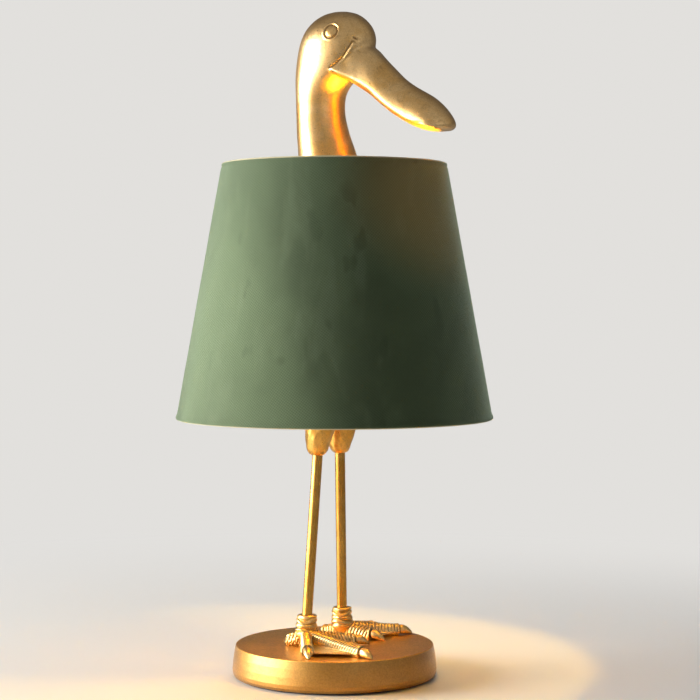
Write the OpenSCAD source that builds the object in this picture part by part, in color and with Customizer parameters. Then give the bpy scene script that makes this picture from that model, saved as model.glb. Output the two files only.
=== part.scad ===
// Table lamp in the shape of a standing duck: two long legs on a round base, the neck and head
// rising through a tapered fabric shade, and a small screw-in bulb in front of the breast.
// Millimetres. +Z is up, +X is the way the bill points, and the origin is the centre of the
// base's underside.

/* [Base] */
// Largest diameter of the round base
base_d = 200; // [180:1:230]
// Height of the base, from the surface that it stands on
base_h = 31.5; // [28:0.5:36]
// Thickness of the felt under the base
felt_t = 2; // [1:0.5:3]

/* [Legs] */
// Outside diameter of a leg tube
leg_d = 10; // [9:0.5:12]
// Height at which a leg tube goes into the thigh
hip_z = 217; // [205:1:225]

/* [Shade] */
// Diameter of the shade's upper edge
shade_top_d = 220; // [205:1:240]
// Diameter of the shade's lower edge
shade_bottom_d = 310; // [280:1:340]
// Height of the shade's lower edge
shade_z = 252; // [245:1:255]
// Height of the shade, edge to edge
shade_h = 249; // [235:1:256]
// Diameter of the shade's frame wires
wire_d = 3; // [2:0.5:4]

/* [Duck] */
// Height of the joint between the torso and the neck casting
split_z = 466; // [460:1:470]
// Distance of the bulb's axis in front of the shade's axis
holder_x = 78; // [76:1:84]
// Number of sides round the moulded neck, head and torso
sides = 32; // [20:4:40]

/* [Hidden] */
$fn = 64;

gold = "#c9983f";
steel = "#b9bcc0";
brass = "#c8a24a";
velvet = "#6f8f6c";
black_plastic = "#2a2a2c";

clearance = 0.1; // between fitted pieces
far = 400; // larger than the lamp, for cutting tools

// Base
base_r = base_d / 2;
base_top_r = base_r - 3;
base_foot_r = base_r - 1.4;
base_edge = 1.2; // radius of the rounded upper edge
base_widest_z = 8;
cavity_r = 78;
cavity_top_z = base_h - 8;
cover_t = 2;
cover_r = cavity_r + 6;
boss_at_r = 68;
boss_r = 6;
boss_angles = [90, 210, 330];
cover_screw_r = 1.9;
felt_r = base_foot_r - 3.6;
inlet_z = 12;
bush_r = 5;
bush_bore_r = 3.2;
bush_flange_r = 8;
bush_flange_t = 2;
bush_sink = 2.5; // depth of the flange's seat inside the base's widest circle
block_at = [-60, -27, felt_t + cover_t];

// Legs: where each axis meets the base's top, and where it meets the thigh
leg_r = leg_d / 2;
leg_bore_r = 3.9;
leg_low = 15; // length of tube below the base's top
leg_high = 34; // length of tube inside the thigh
right_foot_at = [-15.8, -29.8, base_h];
right_hip_at = [-8, -19, hip_z];
left_foot_at = [-8.7, 29.8, base_h];
left_hip_at = [-5, 19, hip_z];
washer_r = 10;
washer_t = 1.5;
nut_flats = 15;
nut_t = 5;
seat_deep = 6; // washer seat below the base's top, along the leg

// Feet: [heading in degrees about +Z, length from the ankle's axis to the claw's tip]
right_toes = [[-56, 69], [-17, 95], [38, 63]];
left_toes = [[4, 47], [45, 73], [75, 57]];
right_hind = [188, 27];
left_hind = [170, 27];
ankle_r = 9.5;
ankle_h = 31;
toe_r = 4.6;
toe_root_z = 15;
toe_end_z = 5;
toe_start = 9; // distance of a rod's root from the ankle's axis
claw_l = 13;
web_inset = 2.7; // degrees that a web's side stops short of its toe's own line

// Shade
shade_top_z = shade_z + shade_h;
shade_lean = (shade_bottom_d - shade_top_d) / 2 / shade_h; // how far the wall runs out per mm down
cover_wall = 1.2;
liner_wall = 0.6;
layer_gap = 0.05;
hem_h = 13;
arm_angles = [0, 120, 240];

// Seat of the shade on the torso
journal_r = 33.5;
journal_h = 8;
seat_r = 48;
seat_h = 5;
hub_in_r = 42;
hub_t = 3;
dog_w = 4;
hub_z = split_z + seat_h;
top_wire_z = shade_top_z - cover_wall - wire_d / 2;

// Lamp holder and bulb, by height
arm_z = 334;
arm_t = 2;
holder_z = arm_z + arm_t;
body_z = holder_z + 12;
core_z = body_z + 2;
thread_z = core_z + 16;
holder_top_z = thread_z + 28;
tip_z = thread_z + 5;
cap_z = tip_z + 4;
globe_r = 22.5;
globe_z = tip_z + 57.5;
cap_r = 6.9;
glass_t = 0.8;
pad_x = 44; // face of the flat pad on the breast that carries the bracket
pad_z = 296;
tab_w = 22;
bracket_screw_z = [304, 322];

// Moulded body: [x, z, heading of the spine in degrees, half depth, half width]
torso_stations = [
    [-13, 232, 90, 8, 12],
    [-12, 236, 90, 16, 22],
    [-9, 246, 90, 23, 29],
    [-5, 262, 90, 29, 33],
    [-1, 290, 90, 34, 36],
    [2, 330, 90, 37, 38],
    [3, 380, 90, 38, 38.5],
    [2, 430, 90, 38, 38],
    [0, 456, 90, 38, 38],
    [0, split_z, 90, 38, 38]
];
thigh_stations = [
    [0, hip_z, 90, 7.2, 7.2],
    [0, hip_z + 2.5, 90, 8.9, 8.9],
    [0, hip_z + 6, 90, 10.6, 10.6],
    [0.2, hip_z + 11, 90, 11.6, 11.4],
    [2, hip_z + 20, 90, 13.4, 12.6],
    [4.6, hip_z + 29, 90, 15.2, 13.6],
    [7.6, hip_z + 42, 90, 17.4, 14.6],
    [9, hip_z + 54, 90, 17.6, 14.2]
];
neck_stations = [
    [-1, split_z + 5, 90, 33.2, 33.2],
    [-3, 481, 90, 32, 32],
    [-5.4, 497, 90, 30.2, 30],
    [-8.8, 514, 90, 28, 28],
    [-12.6, 530, 90, 25.8, 25.8],
    [-15.3, 548, 90, 24, 24],
    [-15.6, 563, 90, 24.2, 24.2],
    [-13.6, 574, 90, 26.6, 25.4],
    [-8.4, 585, 90, 32, 27],
    [-3, 596, 90, 36.6, 28],
    [1.6, 608, 90, 38.8, 28.6],
    [4, 620, 90, 38.8, 28],
    [5, 632, 90, 34.2, 24.6],
    [6, 641, 90, 26, 18.8],
    [7, 647, 90, 15.4, 11.4],
    [7.4, 649.4, 90, 5, 4]
];
bill_stations = [
    [22, 599, -40, 13, 15],
    [36.4, 589.5, -40, 18, 19.5],
    [47.3, 581.3, -39.5, 18.4, 20.5],
    [67.2, 564.6, -36, 16.8, 19.5],
    [88, 552.2, -29, 16, 20.5],
    [104.2, 545.1, -24, 14.6, 22],
    [115.8, 540.3, -22, 11.8, 20.6],
    [124.2, 536.6, -20, 7.8, 15.5],
    [130, 534, -18, 3, 7.5]
];
eye_at = [11.3, 24.6, 627];
eye_r = 5.4;

// Route of the internal lead: from the terminal block, up the right leg and out at the breast
lead_r = 1.5;
lead_points = [
    [-44, -18, 9], [-38, -20.6, 8.3], [-32, -23.4, 6.9], [-27, -25.8, 6.1], [-22.8, -27.8, 6],
    [-19.7, -29.3, 6.9], [-17.4, -30.4, 9.5], [-16.5, -30.8, 13], [-16.1, -30.3, 21],
    [-15.8, -29.8, 31], [-13.8, -27, 77], [-11.9, -24.3, 124], [-9.9, -21.6, 170],
    [-8, -19, 216], [-6.6, -17, 247], [-4.5, -14.5, 262], [3, -10, 276], [16, -4.6, 283],
    [32, -1.4, 286], [48, 0, 288], [63, 0, 293], [73, 0, 303], [78, 0, 317], [78, 0, 332],
    [78, 0, 350]
];

// ---------- shared shapes ----------

// Catmull-Rom value between v[i] and v[i + 1]
function spline(v, i, t) =
    let (n = len(v) - 1, a = v[max(i - 1, 0)], b = v[i], c = v[min(i + 1, n)], d = v[min(i + 2, n)])
    0.5 * (2 * b + (c - a) * t + (2 * a - 5 * b + 4 * c - d) * t * t
        + (3 * b - a - 3 * c + d) * t * t * t);

// Every station, with steps - 1 smooth ones between each pair
function smooth(v, steps) =
    [for (i = [0 : len(v) - 2], s = [0 : steps - 1]) spline(v, i, s / steps), v[len(v) - 1]];

// One closed ring of points round a station of the moulded body
function ring(s, n, turn) = [
    for (i = [0 : n - 1])
        let (a = 360 * (i + turn) / n)
        [s[0] + s[3] * cos(a) * sin(s[2]), s[4] * sin(a), s[1] - s[3] * cos(a) * cos(s[2])]
];

// Closed skin over a list of rings that all have n points
module skin(rings, n) {
    last = len(rings) - 1;
    polyhedron(
        points = [for (r = rings) each r],
        faces = [
            [for (i = [0 : n - 1]) i],
            for (k = [0 : last - 1], i = [0 : n - 1])
                let (j = (i + 1) % n) each [
                    [k * n + i, (k + 1) * n + i, (k + 1) * n + j],
                    [k * n + i, (k + 1) * n + j, k * n + j]
                ],
            [for (i = [n - 1 : -1 : 0]) last * n + i]
        ]
    );
}

module moulding(stations, steps, n, turn = 0) {
    skin([for (s = smooth(stations, steps)) ring(s, n, turn)], n);
}

// Puts +Z along the line from a to b, with the origin at a
module along(a, b) {
    d = b - a;
    translate(a) rotate([0, acos(d[2] / norm(d)), atan2(d[1], d[0])]) children();
}

module right_leg_axis() { along(right_foot_at, right_hip_at) children(); }
module left_leg_axis() { along(left_foot_at, left_hip_at) children(); }
function leg_span(a, b) = norm(b - a);

module tube(r_out, r_in, h) {
    difference() {
        cylinder(r = r_out, h = h);
        translate([0, 0, -1]) cylinder(r = r_in, h = h + 2);
    }
}

module hex_nut(flats, h, bore) {
    difference() {
        cylinder(r = flats / sqrt(3), h = h, $fn = 6);
        translate([0, 0, -1]) cylinder(r = bore, h = h + 2);
    }
}

module at_holder() { translate([holder_x, 0, 0]) children(); }

// ---------- base ----------

module base_outline() {
    polygon([
        [0, felt_t],
        [base_foot_r, felt_t],
        [base_r - 0.3, 4.5],
        [base_r, base_widest_z],
        [base_r - 0.5, 15],
        [base_r - 1.5, 23],
        for (a = [0 : 15 : 90])
            [base_top_r - base_edge + base_edge * cos(a), base_h - base_edge + base_edge * sin(a)],
        [0, base_h]
    ]);
}

module base_casting() {
    color(gold) difference() {
        rotate(40) rotate_extrude() base_outline();
        difference() {
            translate([0, 0, -1]) cylinder(r = cavity_r, h = cavity_top_z + 1);
            for (a = boss_angles) rotate(a) translate([boss_at_r, 0, felt_t + cover_t])
                cylinder(r = boss_r, h = cavity_top_z);
        }
        cylinder(r = cover_r + clearance, h = felt_t + cover_t);
        for (a = boss_angles) rotate(a) translate([boss_at_r, 0, 0])
            cylinder(r = cover_screw_r + clearance, h = 18);
        right_leg_axis() leg_hole();
        left_leg_axis() leg_hole();
        translate([-far, 0, inlet_z]) rotate([0, 90, 0])
            cylinder(r = bush_r + clearance, h = far);
        translate([-far - base_r + bush_sink, 0, inlet_z]) rotate([0, 90, 0])
            cylinder(r = bush_flange_r + clearance, h = far);
    }
}

// Hole for a leg tube, with a seat square to the leg for its washer
module leg_hole() {
    rotate(130) translate([0, 0, -20]) cylinder(r = leg_r + clearance, h = 40);
    rotate(200) translate([0, 0, -20]) cylinder(r = washer_r + 1, h = 20 - seat_deep);
}

module base_cover() {
    color(steel) difference() {
        translate([0, 0, felt_t]) cylinder(r = cover_r, h = cover_t);
        for (a = boss_angles) rotate(a) translate([boss_at_r, 0, felt_t])
            cylinder(r1 = 4 + clearance, r2 = cover_screw_r + clearance, h = cover_t);
    }
}

module base_felt() {
    color("#3a3a3a") cylinder(r = felt_r, h = felt_t);
}

module cover_screws() {
    color(steel) for (a = boss_angles) rotate(a) translate([boss_at_r, 0, felt_t]) {
        cylinder(r1 = 4, r2 = cover_screw_r, h = cover_t);
        cylinder(r = cover_screw_r, h = 14);
    }
}

module cord_bush() {
    length = base_r - cavity_r + 3;
    color(black_plastic) translate([-base_r + bush_sink - bush_flange_t, 0, inlet_z]) rotate([0, 90, 0]) difference() {
        union() {
            cylinder(r = bush_r, h = length);
            cylinder(r = bush_flange_r, h = bush_flange_t);
        }
        translate([0, 0, -1]) cylinder(r = bush_bore_r, h = length + 2);
    }
}

module terminal_block() {
    color("#e8e6dc") translate(block_at) difference() {
        cube([16, 18, 11]);
        for (y = [5, 13]) {
            translate([-1, y, 5.5]) rotate([0, 90, 0]) cylinder(r = 1.6, h = 20);
            for (x = [4, 12]) translate([x, y, 6]) cylinder(r = 1.4, h = 6);
        }
    }
}

module terminal_screws() {
    color(steel) translate(block_at) for (x = [4, 12], y = [5, 13]) translate([x, y, 6])
        cylinder(r = 1.3, h = 4.5);
}

// ---------- legs and feet ----------

module leg(a, b) {
    color(gold) along(a, b) translate([0, 0, -leg_low])
        tube(leg_r, leg_bore_r, leg_low + leg_span(a, b) + leg_high);
}

module leg_washer() {
    translate([0, 0, -seat_deep - washer_t]) tube(washer_r, leg_r + clearance, washer_t);
}

module leg_nut() {
    translate([0, 0, -seat_deep - washer_t - nut_t]) hex_nut(nut_flats, nut_t, leg_r + clearance);
}

module leg_washers() {
    color(steel) { right_leg_axis() leg_washer(); left_leg_axis() leg_washer(); }
}

module leg_nuts() {
    color(steel) { right_leg_axis() leg_nut(); left_leg_axis() leg_nut(); }
}

// Tapered rod with a blunt front end, along +Z
module rod(r1, r2, h) {
    rotate(25) rotate_extrude($fn = 20) polygon([
        [0, 0], [r1, 0], [r2, h], [r2 * 0.85, h + 1.6], [r2 * 0.5, h + 2.8], [0, h + 3.2]
    ]);
}

// A toe as [heading, length]: the rod falls from the ankle to the plate and ends in a claw
module toe(t) {
    run = t[1] - claw_l;
    fall = atan((toe_root_z - toe_end_z) / run);
    rotate(t[0]) {
        translate([toe_start, 0, toe_root_z - toe_start * tan(fall)]) rotate([0, 90 + fall, 0])
            rod(toe_r + 0.3, toe_r - 0.4, (run - toe_start) / cos(fall));
        translate([run - 3, 0, toe_end_z + 0.6]) rotate([0, 90 + 18, 0])
            rod(toe_r * 0.7, 1.1, claw_l);
    }
}

module hind_toe(t) {
    rotate(t[0]) translate([5, 0, toe_root_z - 4]) rotate([0, 90 + 22, 0])
        rod(toe_r, toe_r * 0.9, t[1] - 8);
}

// Skin between two toes, thick at the ankle and thin at its hollow front edge
module web(a, b) {
    steps = 6;
    reach = [a[1] - claw_l - 3, b[1] - claw_l - 3];
    edge = [
        for (i = [0 : steps])
            let (
                f = i / steps,
                heading = a[0] + web_inset + (b[0] - a[0] - 2 * web_inset) * f,
                r = (reach[0] + (reach[1] - reach[0]) * f) * (1 - 0.16 * sin(180 * f))
            ) [r * cos(heading), r * sin(heading)]
    ];
    polyhedron(
        points = [
            [0, 0, -3], for (p = edge) [p[0], p[1], -3],
            [0, 0, toe_root_z - 2], for (p = edge) [p[0], p[1], 3]
        ],
        faces = [
            [for (i = [0 : steps + 1]) i],
            [for (i = [steps + 1 : -1 : 0]) i + steps + 2],
            for (i = [0 : steps + 1])
                let (j = (i + 1) % (steps + 2)) each [
                    [i, i + steps + 2, j + steps + 2],
                    [i, j + steps + 2, j]
                ]
        ]
    );
}

// Wrinkled ankle, turned round the leg's own axis
module ankle() {
    rotate_extrude($fn = 32) polygon([
        [0, -4],
        [ankle_r + 4, -4],
        [ankle_r + 3, 6],
        [ankle_r + 1, 11],
        for (i = [0 : 3])
            let (z = 13 + i * 4.6, r = ankle_r - 0.4 * i) each [
                [r - 0.8, z], [r + 0.5, z + 1.2], [r + 0.5, z + 3], [r - 0.8, z + 4.2]
            ],
        [ankle_r - 3, ankle_h],
        [0, ankle_h]
    ]);
}

module foot(a, b, toes, hind) {
    color(gold) difference() {
        union() {
            along(a, b) ankle();
            translate(a) {
                for (t = toes) toe(t);
                hind_toe(hind);
                for (i = [0, 1]) web(toes[i], toes[i + 1]);
            }
        }
        along(a, b) translate([0, 0, -10]) cylinder(r = leg_r + clearance, h = 60);
        translate([-far / 2, -far / 2, base_h - far]) cube(far);
    }
}

// ---------- torso, neck and head ----------

// Thigh over a hip; it leans forward as it rises into the belly
module thigh(hip) {
    translate([hip[0], hip[1], 0]) moulding(thigh_stations, 1, sides - 4, 0.5);
}

module torso() {
    color(gold) difference() {
        union() {
            moulding(torso_stations, 3, sides);
            thigh(right_hip_at);
            thigh(left_hip_at);
            translate([20, -tab_w / 2, pad_z]) cube([pad_x - 20, tab_w, arm_z - pad_z]);
        }
        right_leg_axis() leg_socket(leg_span(right_foot_at, right_hip_at));
        left_leg_axis() leg_socket(leg_span(left_foot_at, left_hip_at));
        lead_duct([-6.6, -17, 243], [-4, -14, 266]);
        lead_duct([-5.4, -15.4, 258], [5, -9.2, 279]);
        lead_duct([0, -11.4, 274], [20, -3.6, 286]);
        lead_duct([13, -5.4, 283], [60, 0.6, 288]);
        translate([0, 0, split_z - 35]) cylinder(r = 4 + clearance, h = 40);
        for (z = bracket_screw_z) translate([pad_x - 16, 0, z]) rotate([0, 90, 0])
            cylinder(r = 2 + clearance, h = 30);
    }
}

module leg_socket(span) {
    translate([0, 0, span - 9]) rotate(137) cylinder(r = leg_r + clearance, h = leg_high + 10);
}

module lead_duct(a, b) {
    along(a, b) cylinder(r = 4.5, h = norm(b - a));
}

module neck_head() {
    color(gold) difference() {
        union() {
            translate([0, 0, split_z]) cylinder(r = journal_r, h = journal_h);
            moulding(neck_stations, 2, sides - 4);
            moulding(bill_stations, 2, sides - 4, 0.5);
            for (s = [-1, 1]) translate([eye_at[0], s * eye_at[1], eye_at[2]]) sphere(r = eye_r);
        }
        translate([0, 0, split_z - 1]) cylinder(r = 4 + clearance, h = 36);
    }
}

module neck_stud() {
    color(steel) translate([0, 0, split_z - 35]) cylinder(r = 4, h = 70);
}

// ---------- lamp holder ----------

module holder_bracket() {
    color(steel) difference() {
        union() {
            translate([pad_x, -tab_w / 2, pad_z]) cube([arm_t, tab_w, holder_z - pad_z]);
            translate([pad_x, -tab_w / 2, arm_z]) cube([holder_x - pad_x, tab_w, arm_t]);
            translate([holder_x, 0, arm_z]) cylinder(r = tab_w / 2, h = arm_t);
        }
        at_holder() translate([0, 0, arm_z - 1]) cylinder(r = 5 + clearance, h = arm_t + 2);
        for (z = bracket_screw_z) translate([pad_x - 1, 0, z]) rotate([0, 90, 0])
            cylinder(r = 2 + clearance, h = arm_t + 2);
    }
}

module bracket_screws() {
    color(steel) for (z = bracket_screw_z) translate([pad_x - 14, 0, z]) rotate([0, 90, 0]) {
        cylinder(r = 2, h = 14 + arm_t);
        translate([0, 0, 14 + arm_t]) difference() {
            cylinder(r = 4, h = 2.6);
            for (a = [0, 90]) rotate(a) translate([-2.2, -0.4, 1.4]) cube([4.4, 0.8, 2]);
        }
    }
}

module nipple() {
    color(steel) at_holder() translate([0, 0, arm_z - 8]) tube(5, 3.5, 18);
}

module nipple_nut() {
    color(steel) at_holder() translate([0, 0, arm_z - 4]) hex_nut(14, 4, 5 + clearance);
}

module holder_cap() {
    color(black_plastic) at_holder() translate([0, 0, holder_z]) difference() {
        cylinder(r1 = 12, r2 = 13.5, h = 12);
        translate([0, 0, -1]) cylinder(r = 5 + clearance, h = 14);
        translate([0, 0, 4]) cylinder(r = 11.2, h = 10);
    }
}

module holder_body() {
    color(black_plastic) at_holder() difference() {
        union() {
            translate([0, 0, body_z]) cylinder(r = 14, h = holder_top_z - body_z);
            translate([0, 0, body_z - 6]) cylinder(r = 11, h = 7);
        }
        translate([0, 0, body_z - 7]) cylinder(r = 9.5, h = 20);
        translate([0, 0, core_z]) cylinder(r = 12, h = holder_top_z);
    }
}

module holder_core() {
    color("#ece9df") at_holder() difference() {
        translate([0, 0, core_z]) cylinder(r = 11.9, h = holder_top_z - core_z - 2);
        translate([0, 0, thread_z]) cylinder(r = 7.9, h = 40);
        for (y = [-6, 6]) translate([0, y, core_z - 1]) cylinder(r = 1.5, h = 12);
    }
}

module screw_shell() {
    color(brass) at_holder() translate([0, 0, thread_z]) tube(7.8, 7.2, 24);
}

module centre_contact() {
    color(brass) at_holder() translate([0, 0, thread_z]) {
        cylinder(r = 4.5, h = 1);
        cylinder(r = 2, h = 4.9);
    }
}

// Round tube swept along points, for the internal lead
module sweep(points, r, n) {
    last = len(points) - 1;
    rings = [
        for (k = [0 : last])
            let (
                d = points[min(k + 1, last)] - points[max(k - 1, 0)],
                t = d / norm(d),
                u0 = cross(t, [0, 1, 0.03]),
                u = u0 / norm(u0),
                v = cross(t, u)
            )
            [for (i = [0 : n - 1]) points[k] + r * (cos(360 * i / n) * u + sin(360 * i / n) * v)]
    ];
    skin(rings, n);
}

module supply_lead() {
    color("#1d1d1f") sweep(smooth(lead_points, 3), lead_r, 8);
}

// ---------- shade ----------

// Radius of the shade's outer face at height z
function shade_r(z) = shade_top_d / 2 + (shade_top_z - z) * shade_lean;

module seat_ring() {
    color(black_plastic) translate([0, 0, split_z]) {
        tube(seat_r, journal_r + 0.3, seat_h);
        for (a = arm_angles) rotate(a + 60) translate([hub_in_r - 2, -dog_w / 2, seat_h])
            cube([seat_r - hub_in_r, dog_w, hub_t]);
    }
}

module spider_hub() {
    color(steel) difference() {
        translate([0, 0, hub_z]) tube(seat_r, hub_in_r, hub_t);
        for (a = arm_angles) rotate(a + 60)
            translate([hub_in_r - 5, -dog_w / 2 - 0.4, hub_z - 1])
            cube([seat_r - hub_in_r + 3.4, dog_w + 0.8, hub_t + 2]);
    }
}

// Arms from the hub's rim to the top wire
module arms(r) {
    inner = [seat_r - 0.4, 0, hub_z + hub_t / 2];
    outer = [wire_ring_r(top_wire_z) - wire_d / 2 + 0.2, 0, top_wire_z];
    for (a = arm_angles) rotate(a) along(inner, outer) cylinder(r = r, h = norm(outer - inner));
}

module spider_arms() {
    color(steel) difference() {
        arms(wire_d / 2);
        translate([0, 0, hub_z - 2]) cylinder(r = seat_r + 0.02, h = hub_t + 4);
        translate([0, 0, top_wire_z]) rotate(60) rotate_extrude()
            translate([wire_ring_r(top_wire_z), 0]) circle(r = wire_d / 2 + 0.02);
    }
}

function wire_ring_r(z) = shade_r(z) - cover_wall - wire_d / 2 - 0.3;

module frame_wire(z) {
    translate([0, 0, z]) rotate_extrude() translate([wire_ring_r(z), 0])
        circle(d = wire_d, $fn = 24);
}

module top_wire() { color(steel) frame_wire(top_wire_z); }
module bottom_wire() { color(steel) frame_wire(shade_z + cover_wall + wire_d / 2); }

// Wall of the shade between two heights, from depth d1 to depth d2 under the outer face
module wall(z1, z2, d1, d2) {
    rotate_extrude($fn = 128) polygon([
        [shade_r(z1) - d1, z1], [shade_r(z2) - d1, z2],
        [shade_r(z2) - d2, z2], [shade_r(z1) - d2, z1]
    ]);
}

module shade_liner() {
    inner = cover_wall + layer_gap;
    color("#efe3bd") wall(shade_z + 6, shade_top_z - 6, inner, inner + liner_wall);
}

module shade_cover() {
    hem_in = cover_wall + wire_d + 1;
    color(velvet) difference() {
        rotate_extrude($fn = 128) polygon([
            for (p = [
                [shade_z, 0], [shade_top_z, 0],
                [shade_top_z, hem_in + cover_wall], [shade_top_z - hem_h, hem_in + cover_wall],
                [shade_top_z - hem_h, hem_in], [shade_top_z - cover_wall, hem_in],
                [shade_top_z - cover_wall, cover_wall], [shade_z + cover_wall, cover_wall],
                [shade_z + cover_wall, hem_in], [shade_z + hem_h, hem_in],
                [shade_z + hem_h, hem_in + cover_wall], [shade_z, hem_in + cover_wall]
            ]) [shade_r(p[0]) - p[1], p[0]]
        ]);
        intersection() {
            arms(wire_d / 2 + 0.3);
            translate([0, 0, shade_top_z - 30]) cylinder(r = shade_r(shade_top_z) - 4, h = 60);
        }
    }
}

// ---------- bulb ----------

module bulb_tip() {
    at_holder() {
        color(black_plastic) translate([0, 0, tip_z + 0.6]) cylinder(r1 = 2.6, r2 = 5.6, h = 3.4);
        color(steel) translate([0, 0, tip_z]) cylinder(r = 2.2, h = 1);
    }
}

module bulb_cap() {
    color(brass) at_holder() translate([0, 0, cap_z]) difference() {
        union() {
            cylinder(r = cap_r, h = 18);
            translate([0, 0, 18]) cylinder(r1 = cap_r, r2 = 8.2, h = 4);
        }
        translate([0, 0, 1]) cylinder(r = cap_r - 0.6, h = 30);
    }
}

module globe_outline(d) {
    r = globe_r - d;
    polygon([
        [0, cap_z + 12 + d],
        [cap_r - 0.8 - d, cap_z + 12 + d],
        [cap_r - 0.8 - d, cap_z + 22.5],
        [9 - d, cap_z + 25],
        for (a = [-55 : 5 : 90]) [r * cos(a), globe_z + r * sin(a)],
    ]);
}

module bulb_globe() {
    color([1, 0.97, 0.9, 0.35]) at_holder() rotate_extrude() difference() {
        globe_outline(0);
        globe_outline(glass_t);
    }
}

module bulb_stem() {
    color([1, 1, 1, 0.4]) at_holder() translate([0, 0, cap_z + 12.8]) {
        cylinder(r1 = 4.6, r2 = 2.4, h = 14);
        cylinder(r = 1.6, h = 26);
    }
}

module bulb_filaments() {
    color("#ffcc66") at_holder() for (a = [45 : 90 : 315]) rotate(a)
        translate([3.3, 0, cap_z + 26]) rotate([0, 14, 0]) cylinder(r = 0.8, h = 22);
}

// ---------- nodes ----------

base_casting();
base_cover();
base_felt();
cover_screws();
cord_bush();
terminal_block();
terminal_screws();
foot(right_foot_at, right_hip_at, right_toes, right_hind);  // right_foot
foot(left_foot_at, left_hip_at, left_toes, left_hind);  // left_foot
leg(right_foot_at, right_hip_at);  // right_leg
leg(left_foot_at, left_hip_at);  // left_leg
leg_washers();
leg_nuts();
torso();
neck_head();
neck_stud();
holder_bracket();
bracket_screws();
nipple();
nipple_nut();
holder_cap();
holder_body();
holder_core();
screw_shell();
centre_contact();
supply_lead();
seat_ring();
spider_hub();
spider_arms();
top_wire();
bottom_wire();
shade_liner();
shade_cover();
bulb_tip();
bulb_cap();
bulb_globe();
bulb_stem();
bulb_filaments();
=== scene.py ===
"""Table lamp in the shape of a standing duck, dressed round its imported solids."""

import logging
import math
from collections.abc import Iterator, Sequence
from contextlib import contextmanager
from dataclasses import astuple, dataclass
from enum import Enum

import bpy
import numpy as np
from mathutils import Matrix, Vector


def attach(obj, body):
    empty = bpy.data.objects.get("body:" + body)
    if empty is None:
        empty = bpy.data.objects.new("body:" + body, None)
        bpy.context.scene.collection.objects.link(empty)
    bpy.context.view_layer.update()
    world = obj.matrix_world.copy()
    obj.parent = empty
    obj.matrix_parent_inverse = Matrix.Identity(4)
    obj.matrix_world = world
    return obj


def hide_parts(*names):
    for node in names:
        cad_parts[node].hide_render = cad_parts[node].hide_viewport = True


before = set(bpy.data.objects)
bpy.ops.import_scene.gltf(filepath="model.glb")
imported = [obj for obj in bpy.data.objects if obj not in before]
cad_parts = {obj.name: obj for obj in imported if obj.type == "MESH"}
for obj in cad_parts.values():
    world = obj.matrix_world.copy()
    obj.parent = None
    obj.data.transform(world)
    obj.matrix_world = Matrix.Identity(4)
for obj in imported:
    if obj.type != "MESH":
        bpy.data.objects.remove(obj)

logging.basicConfig(level=logging.INFO, format="%(levelname)s %(message)s")
log = logging.getLogger("duck_lamp")

MM = 0.001
PLATE_TOP = 31.5  # the base's top, in millimetres
SHADE_LOW, SHADE_HIGH = 252.0, 501.0  # the shade's rims, in millimetres
HIP_RISE = 185.5  # from the base's top to the hips, in millimetres
RIGHT_HIP, LEFT_HIP = (-8.0, -19.0), (-5.0, 19.0)
WAVE_LENGTH = math.pi / 10  # one band of the wave texture at scale 1
Colour = tuple[float, float, float]
Place = tuple[float, float, float]
Array = np.ndarray
Line = Sequence[tuple[float, float]]
Rows = Sequence[tuple[float, ...]]
Part = bpy.types.Object
Socket = bpy.types.NodeSocket


class Heading(Enum):
    """Which way a loft's rings are stacked."""

    UP = 0
    AHEAD = 1


# ---- workbench: every step leaves its own piece active and selected


@dataclass(frozen=True)
class Ring:
    """One oval section of a loft, in millimetres.

    a is its half size along X in an upright loft and along Z in one that runs ahead,
    and b its half size along Y.
    """

    x: float
    z: float
    a: float
    b: float
    y: float = 0.0


def between(rows: Rows, steps: int) -> list[Ring]:
    """Draws a smooth curve through the rings of a table.

    Args:
        rows: the rings as (x, z, a, b) or (x, z, a, b, y).
        steps: how many rings each span becomes.

    Returns:
        The table's rings with the new ones between them.
    """
    table = np.array(rows, float)
    out: list[Ring] = []
    for i in range(len(table) - 1):
        p1, p2 = table[i], table[i + 1]
        p0 = table[i - 1] if i else p1 * 2 - p2
        p3 = table[i + 2] if i + 2 < len(table) else p2 * 2 - p1
        for k in range(steps):
            t = k / steps
            point = 0.5 * (2 * p1 + (p2 - p0) * t + (2 * p0 - 5 * p1 + 4 * p2 - p3) * t * t
                           + (3 * p1 - p0 - 3 * p2 + p3) * t ** 3)
            out.append(Ring(*point.tolist()))
    return [*out, Ring(*table[-1].tolist())]


def pick(part: Part) -> None:
    """Selects this piece alone and makes it active."""
    bpy.ops.object.select_all(action="DESELECT")
    part.select_set(True)
    bpy.context.view_layer.objects.active = part


def added(name: str) -> Part:
    """Names the active piece and returns it."""
    part = bpy.context.object
    part.name = part.data.name = name
    return part


def modify(part: Part, kind: str, **settings: object) -> None:
    """Adds one modifier and applies it.

    Args:
        part: the piece.
        kind: the modifier's type.
        settings: its properties by name.
    """
    pick(part)
    modifier = part.modifiers.new(kind.title(), kind)
    for key, value in settings.items():
        setattr(modifier, key, value)
    bpy.ops.object.modifier_apply(modifier=modifier.name)


@contextmanager
def editing(part: Part) -> Iterator[None]:
    """Opens a piece in edit mode, all of it selected, and closes it afterwards.

    Args:
        part: the piece.

    Yields:
        Nothing.
    """
    pick(part)
    bpy.ops.object.mode_set(mode="EDIT")
    bpy.ops.mesh.select_all(action="SELECT")
    yield
    bpy.ops.object.mode_set(mode="OBJECT")


def outward(part: Part) -> None:
    """Turns the faces of a piece outwards."""
    with editing(part):
        bpy.ops.mesh.normals_make_consistent(inside=False)


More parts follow.
